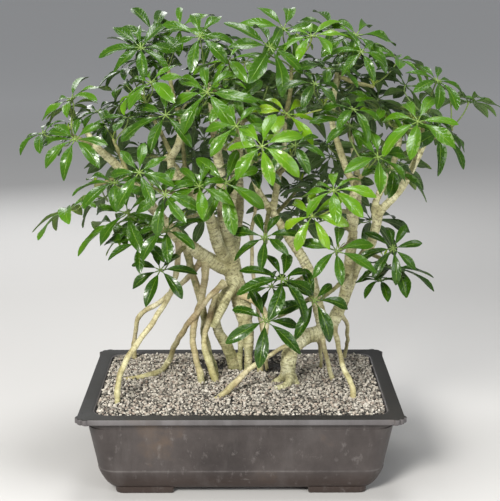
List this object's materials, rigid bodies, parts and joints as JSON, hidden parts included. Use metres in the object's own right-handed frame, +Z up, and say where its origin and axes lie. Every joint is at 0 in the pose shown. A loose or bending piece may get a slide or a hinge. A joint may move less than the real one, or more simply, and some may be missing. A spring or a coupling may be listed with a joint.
{
  "type": "umbrella tree bonsai",
  "caption": "Banyan-style umbrella tree bonsai with aerial roots, leafy crown and gravel, growing in a rectangular plastic training pot on corner feet.",
  "frame": {"origin": "under the middle of the whole tree and pot, at the level that the pot's feet stand on", "axes": "+Z up, +X to the right and +Y to the back as the bonsai is seen from its front"},
  "size_m": [0.5978, 0.3624, 0.586],
  "materials": {
    "pot_plastic": "dusty satin, moulded, dark brown-grey",
    "mesh_plastic": "matte black",
    "gravel": "rough crushed grit, mixed greys",
    "bark": "matte, ringed and speckled with moss",
    "root_bark": "matte, smooth tan bark",
    "leaf": "waxy, glossy green"
  },
  "bodies": {
    "root": {"pot": "pot_plastic", "drain_mesh_left": "mesh_plastic", "drain_mesh_right": "mesh_plastic", "gravel": "gravel", "left_trunk": "bark", "right_trunk": "bark", "root_far_left": "root_bark", "root_back_left": "root_bark", "root_mossy": "root_bark", "root_front_left": "root_bark", "root_lying_left": "root_bark", "root_inner_left": "root_bark", "root_centre": "root_bark", "root_centre_thin": "root_bark", "root_claw": "root_bark", "root_back_right": "root_bark", "root_far_right": "root_bark", "root_right": "root_bark", "root_right_thin": "root_bark", "spray_far_left": "leaf", "spray_left_shoulder": "leaf", "spray_left_crown": "leaf", "spray_top_left": "leaf", "spray_top_left_inner": "leaf", "spray_top_middle": "leaf", "spray_upper_left": "leaf", "spray_left_front": "leaf", "spray_left_low_front": "leaf", "spray_left_low": "leaf", "spray_left_drooping": "leaf", "spray_middle_left": "leaf", "spray_middle_front": "leaf", "spray_middle_bright": "leaf", "spray_middle_back": "leaf", "spray_middle_low": "leaf", "spray_low_front": "leaf", "spray_low_rosette": "leaf", "spray_right_low_front": "leaf", "spray_right_front": "leaf", "spray_far_right_low": "leaf", "spray_right_pale": "leaf", "spray_right_rosette": "leaf", "spray_middle_right": "leaf", "spray_upper_right_front": "leaf", "spray_top_centre": "leaf", "spray_top_right": "leaf", "spray_top_far_right": "leaf", "spray_outer_right_upper": "leaf", "spray_far_right": "leaf", "spray_outer_right_front": "leaf", "spray_inner_right": "leaf", "spray_back_left": "leaf", "spray_back_left_high": "leaf", "spray_back_left_low": "leaf", "spray_back_middle": "leaf", "spray_back_middle_high": "leaf", "spray_back_middle_low": "leaf", "spray_back_right": "leaf", "spray_back_right_high": "leaf", "spray_back_right_low": "leaf"}
  },
  "joints": []
}
